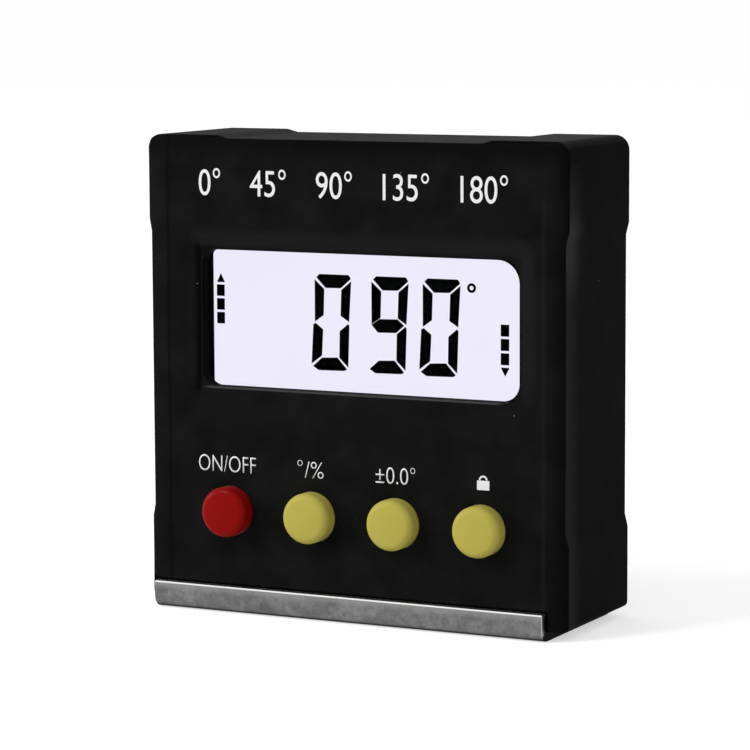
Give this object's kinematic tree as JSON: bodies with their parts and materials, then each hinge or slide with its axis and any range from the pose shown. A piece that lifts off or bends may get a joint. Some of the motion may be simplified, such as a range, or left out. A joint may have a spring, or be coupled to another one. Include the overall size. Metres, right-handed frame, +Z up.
{
  "type": "inclinometer",
  "caption": "Pocket digital inclinometer: black square case with a backlit display and push buttons, on a magnetic steel base that rests on the surface measured.",
  "frame": {"origin": "on the flat underside of the steel base, below the middle of the case", "axes": "+Z up from the base, -Y out of the face with the display, +X to the viewer's right"},
  "size_m": [0.06, 0.0236, 0.0624],
  "materials": {
    "black_abs": "fine moulded texture",
    "stainless_steel": "mill finish, lightly stained",
    "magnet_plating": "nickel plated",
    "screw_steel": "black zinc",
    "red_button": "satin moulded",
    "yellow_button": "satin moulded",
    "switch_stem": "moulded",
    "switch_body": "moulded",
    "tin_plate": "tin plated",
    "window": "clear acrylic, polished",
    "display_glass": "clear",
    "polarizer": "pale lavender film",
    "adhesive": "black double-sided film",
    "light_guide": "frosted acrylic",
    "reflector": "white film",
    "led": "lamp resin",
    "holder_plastic": "white moulded",
    "elastomer": "striped silicone",
    "circuit_board": "green solder mask",
    "black_epoxy": "cured resin",
    "chip_ceramic": "fired",
    "cell_steel": "nickel plated",
    "cell_sleeve": "plain film sleeve",
    "spring_contact": "nickel plated spring steel"
  },
  "bodies": {
    "case": {"backlight_guide": "light_guide", "backlight_leds": "led", "backlight_reflector": "reflector", "base_channel": "stainless_steel", "base_magnets": "magnet_plating", "base_screws": "screw_steel", "board_capacitors": "chip_ceramic", "board_screws": "screw_steel", "bridge_contact": "spring_contact", "calibrate_switch_body": "switch_body", "calibrate_switch_cover": "tin_plate", "cover_screws": "screw_steel", "crystal": "tin_plate", "display_window": "window", "elastomer_strip": "elastomer", "front_housing": "black_abs", "hold_switch_body": "switch_body", "hold_switch_cover": "tin_plate", "lcd_front_glass": "display_glass", "lcd_front_polarizer": "polarizer", "lcd_holder": "holder_plastic", "lcd_rear_glass": "display_glass", "lcd_rear_polarizer": "polarizer", "lower_cell": "cell_steel", "lower_cell_sleeve": "cell_sleeve", "main_board": "circuit_board", "negative_contact": "spring_contact", "positive_contact": "spring_contact", "power_switch_body": "switch_body", "power_switch_cover": "tin_plate", "processor_blob": "black_epoxy", "rear_cover": "black_abs", "tilt_sensor": "black_epoxy", "unit_switch_body": "switch_body", "unit_switch_cover": "tin_plate", "upper_cell": "cell_steel", "upper_cell_sleeve": "cell_sleeve", "window_tape": "adhesive"},
    "battery_door": {"battery_door": "black_abs"},
    "power_button": {"power_button": "red_button", "power_switch_stem": "switch_stem"},
    "unit_button": {"unit_button": "yellow_button", "unit_switch_stem": "switch_stem"},
    "calibrate_button": {"calibrate_button": "yellow_button", "calibrate_switch_stem": "switch_stem"},
    "hold_button": {"hold_button": "yellow_button", "hold_switch_stem": "switch_stem"}
  },
  "joints": [
    {"name": "battery_door_tilt", "type": "hinge", "parent": "case", "child": "battery_door", "pos_m": [0, 0.01, 0.0196], "axis": [-1, 0, 0], "range_deg": [0, 75]},
    {"name": "power_press", "type": "slide", "parent": "case", "child": "power_button", "axis": [0, 1, 0], "range_m": [0, 0.0003], "stiffness_N_per_m": 1500},
    {"name": "unit_press", "type": "slide", "parent": "case", "child": "unit_button", "axis": [0, 1, 0], "range_m": [0, 0.0003], "stiffness_N_per_m": 1500},
    {"name": "calibrate_press", "type": "slide", "parent": "case", "child": "calibrate_button", "axis": [0, 1, 0], "range_m": [0, 0.0003], "stiffness_N_per_m": 1500},
    {"name": "hold_press", "type": "slide", "parent": "case", "child": "hold_button", "axis": [0, 1, 0], "range_m": [0, 0.0003], "stiffness_N_per_m": 1500}
  ]
}
